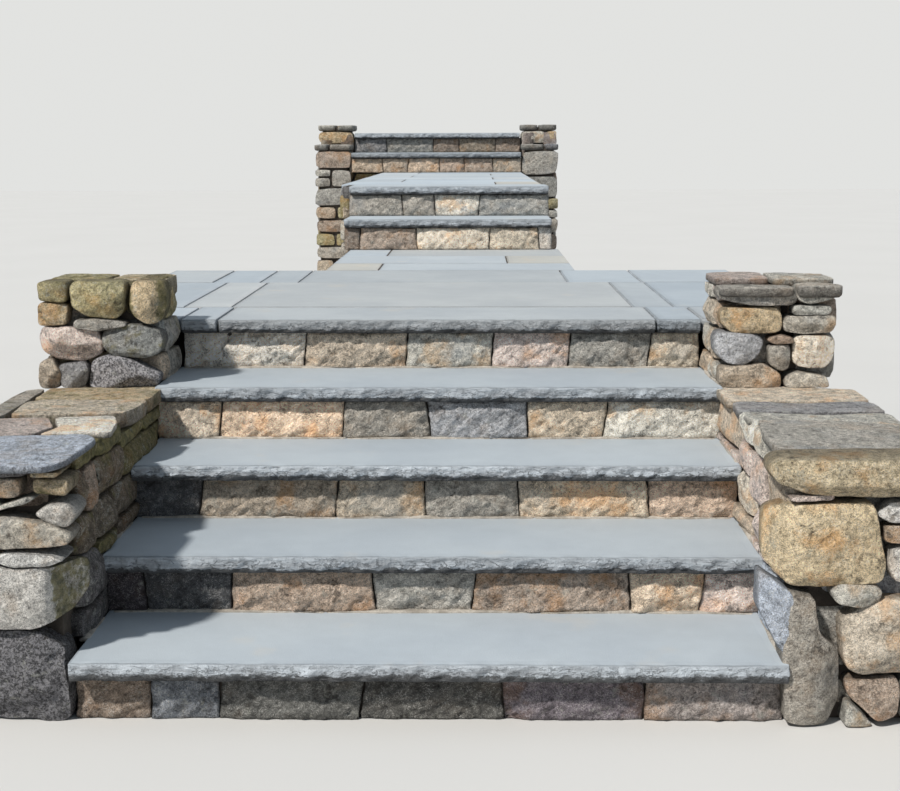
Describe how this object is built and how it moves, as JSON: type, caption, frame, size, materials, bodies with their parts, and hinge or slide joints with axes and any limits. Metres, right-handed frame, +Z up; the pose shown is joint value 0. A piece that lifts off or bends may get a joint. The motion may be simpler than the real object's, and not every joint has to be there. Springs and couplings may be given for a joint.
{
  "type": "outdoor stone steps",
  "caption": "Outdoor stone steps: thick bluestone treads on split granite risers between fieldstone cheek walls with piers, a paved landing, a path and two short flights above.",
  "frame": {"origin": "on the ground, at the middle of the whole footprint", "axes": "+X to the right across the steps, +Y up the slope away from the foot, +Z up"},
  "size_m": [2.68, 10.365, 1.659],
  "materials": {
    "bluestone": "thermal top, pitched edge",
    "riser_stone": "split face",
    "fieldstone": "weathered, mossy",
    "cap_stone": "natural cleft",
    "rubble_bed": "rough"
  },
  "bodies": {
    "root": {"landing_bed": "rubble_bed", "landing_edge": "bluestone", "landing_flags_back": "bluestone", "landing_flags_front": "bluestone", "landing_flags_left": "bluestone", "landing_flags_right": "bluestone", "left_pier": "fieldstone", "left_pier_cap": "cap_stone", "left_wall": "fieldstone", "left_wall_cap": "cap_stone", "path_bed": "rubble_bed", "path_flags": "bluestone", "right_pier": "fieldstone", "right_pier_cap": "cap_stone", "right_wall": "fieldstone", "right_wall_cap": "cap_stone", "riser_1": "riser_stone", "riser_2": "riser_stone", "riser_3": "riser_stone", "riser_4": "riser_stone", "riser_5": "riser_stone", "riser_6": "riser_stone", "riser_7": "riser_stone", "riser_8": "riser_stone", "riser_9": "riser_stone", "step_bed_1": "rubble_bed", "step_bed_2": "rubble_bed", "step_bed_3": "rubble_bed", "step_bed_4": "rubble_bed", "step_bed_6": "rubble_bed", "step_bed_8": "rubble_bed", "top_bed": "rubble_bed", "tread_1": "bluestone", "tread_2": "bluestone", "tread_3": "bluestone", "tread_4": "bluestone", "tread_6": "bluestone", "tread_7": "bluestone", "tread_8": "bluestone", "tread_9": "bluestone", "upper_cheek_left": "fieldstone", "upper_cheek_right": "fieldstone", "upper_landing_bed": "rubble_bed", "upper_landing_flags": "bluestone"}
  },
  "joints": []
}
